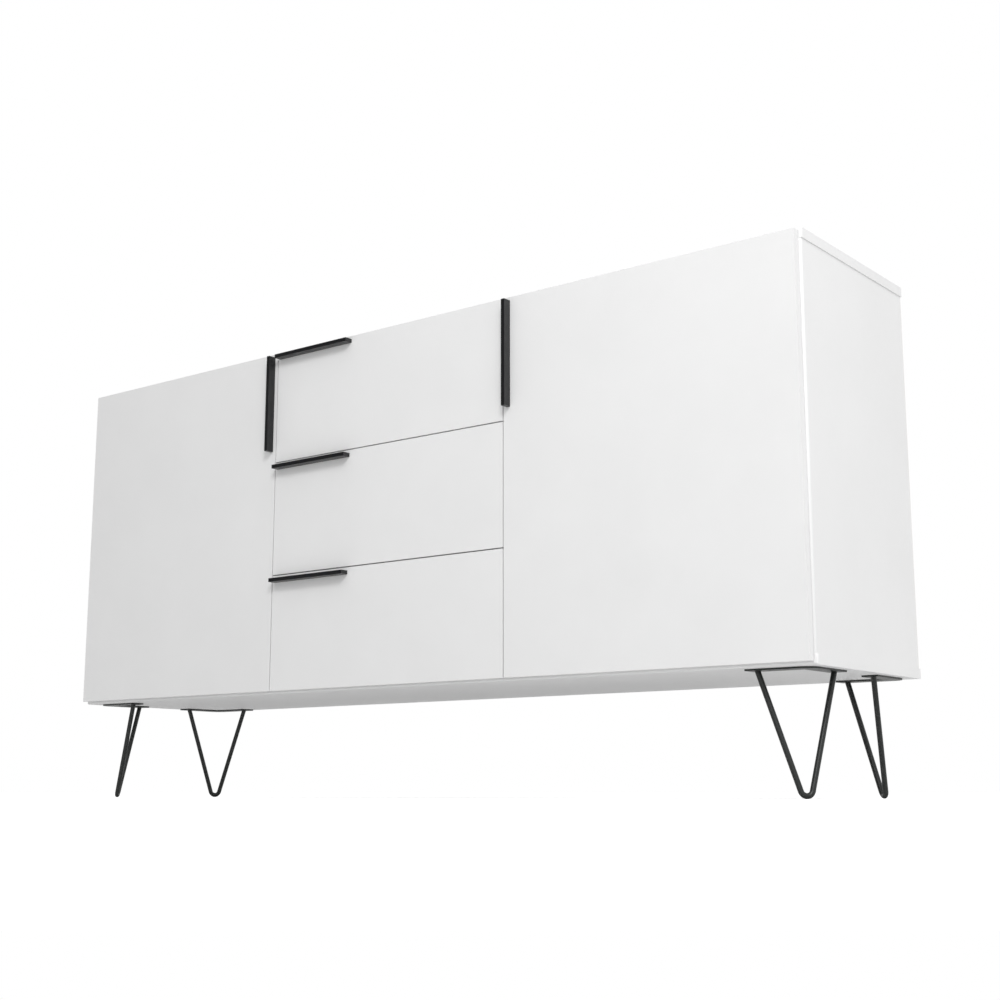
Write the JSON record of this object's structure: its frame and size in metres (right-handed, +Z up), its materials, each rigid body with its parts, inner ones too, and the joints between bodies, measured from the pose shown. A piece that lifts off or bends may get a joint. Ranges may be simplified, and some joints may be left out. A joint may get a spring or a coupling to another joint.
{
  "type": "sideboard",
  "caption": "White sideboard with a door at each side, a centre stack of drawers, black bar handles and black hairpin legs",
  "frame": {"origin": "On the floor, under the middle of the whole piece, handles included", "axes": "+X to the right as seen from the front, -Y out of the front, +Z up"},
  "size_m": [1.53, 0.363, 0.779],
  "materials": {
    "white_front": "white satin lacquer on board, lightly rounded edges",
    "white_board": "white melamine on particle board, with white edge band",
    "white_back": "thin fibreboard, painted white",
    "black_handle": "matt black powder coat on aluminium bar",
    "black_leg": "black powder coat on steel rod",
    "bright_steel": "nickel-plated sheet steel, satin",
    "zinc": "zinc-plated fittings and screws",
    "beech": "fluted beech dowel, unfinished",
    "clear_rubber": "soft translucent bumper pad"
  },
  "bodies": {
    "carcass": {"top_panel": "white_board", "bottom_panel": "white_board", "left_side_panel": "white_board", "right_side_panel": "white_board", "left_divider": "white_board", "right_divider": "white_board", "back_panel": "white_back", "left_shelf": "white_board", "right_shelf": "white_board", "shelf_pins": "bright_steel", "carcass_dowels": "beech", "cam_fittings": "zinc", "back_panel_nails": "bright_steel", "front_left_leg": "black_leg", "front_right_leg": "black_leg", "back_left_leg": "black_leg", "back_right_leg": "black_leg", "leg_screws": "black_leg", "hinge_arms": "bright_steel", "hinge_arm_screws": "zinc", "cabinet_runners": "bright_steel"},
    "left_door": {"left_door_panel": "white_front", "left_door_handle": "black_handle", "left_hinge_cups": "bright_steel", "left_door_screws": "zinc", "left_door_bumpers": "clear_rubber"},
    "left_links": {"left_hinge_links": "bright_steel"},
    "right_door": {"right_door_panel": "white_front", "right_door_handle": "black_handle", "right_hinge_cups": "bright_steel", "right_door_screws": "zinc", "right_door_bumpers": "clear_rubber"},
    "right_links": {"right_hinge_links": "bright_steel"},
    "top_drawer": {"top_drawer_front": "white_front", "top_drawer_left_side": "white_board", "top_drawer_right_side": "white_board", "top_drawer_back": "white_board", "top_drawer_bottom": "white_back", "top_drawer_handle": "black_handle", "top_drawer_runners": "bright_steel", "top_drawer_fittings": "zinc"},
    "top_cages": {"top_ball_cages": "bright_steel"},
    "middle_drawer": {"middle_drawer_front": "white_front", "middle_drawer_left_side": "white_board", "middle_drawer_right_side": "white_board", "middle_drawer_back": "white_board", "middle_drawer_bottom": "white_back", "middle_drawer_handle": "black_handle", "middle_drawer_runners": "bright_steel", "middle_drawer_fittings": "zinc"},
    "middle_cages": {"middle_ball_cages": "bright_steel"},
    "bottom_drawer": {"bottom_drawer_front": "white_front", "bottom_drawer_left_side": "white_board", "bottom_drawer_right_side": "white_board", "bottom_drawer_back": "white_board", "bottom_drawer_bottom": "white_back", "bottom_drawer_handle": "black_handle", "bottom_drawer_runners": "bright_steel", "bottom_drawer_fittings": "zinc"},
    "bottom_cages": {"bottom_ball_cages": "bright_steel"}
  },
  "joints": [
    {"name": "left_door_hinge", "type": "hinge", "parent": "carcass", "child": "left_door", "pos_m": [-0.757, -0.1605, 0.4765], "axis": [0, 0, -1], "range_deg": [0, 105]},
    {"name": "left_link_hinge", "type": "hinge", "parent": "carcass", "child": "left_links", "pos_m": [-0.757, -0.1605, 0.4765], "axis": [0, 0, -1], "range_deg": [0, 52.5]},
    {"name": "right_door_hinge", "type": "hinge", "parent": "carcass", "child": "right_door", "pos_m": [0.757, -0.1605, 0.4765], "axis": [0, 0, 1], "range_deg": [0, 105]},
    {"name": "right_link_hinge", "type": "hinge", "parent": "carcass", "child": "right_links", "pos_m": [0.757, -0.1605, 0.4765], "axis": [0, 0, 1], "range_deg": [0, 52.5]},
    {"name": "top_drawer_slide", "type": "slide", "parent": "carcass", "child": "top_drawer", "axis": [0, -1, 0], "range_m": [0, 0.225]},
    {"name": "top_cage_slide", "type": "slide", "parent": "carcass", "child": "top_cages", "axis": [0, -1, 0], "range_m": [0, 0.1125]},
    {"name": "middle_drawer_slide", "type": "slide", "parent": "carcass", "child": "middle_drawer", "axis": [0, -1, 0], "range_m": [0, 0.225]},
    {"name": "middle_cage_slide", "type": "slide", "parent": "carcass", "child": "middle_cages", "axis": [0, -1, 0], "range_m": [0, 0.1125]},
    {"name": "bottom_drawer_slide", "type": "slide", "parent": "carcass", "child": "bottom_drawer", "axis": [0, -1, 0], "range_m": [0, 0.225]},
    {"name": "bottom_cage_slide", "type": "slide", "parent": "carcass", "child": "bottom_cages", "axis": [0, -1, 0], "range_m": [0, 0.1125]}
  ],
  "couplings": [
    {"joint": "left_link_hinge", "follows": "left_door_hinge", "ratio": 0.5},
    {"joint": "right_link_hinge", "follows": "right_door_hinge", "ratio": 0.5},
    {"joint": "top_cage_slide", "follows": "top_drawer_slide", "ratio": 0.5},
    {"joint": "middle_cage_slide", "follows": "middle_drawer_slide", "ratio": 0.5},
    {"joint": "bottom_cage_slide", "follows": "bottom_drawer_slide", "ratio": 0.5}
  ]
}
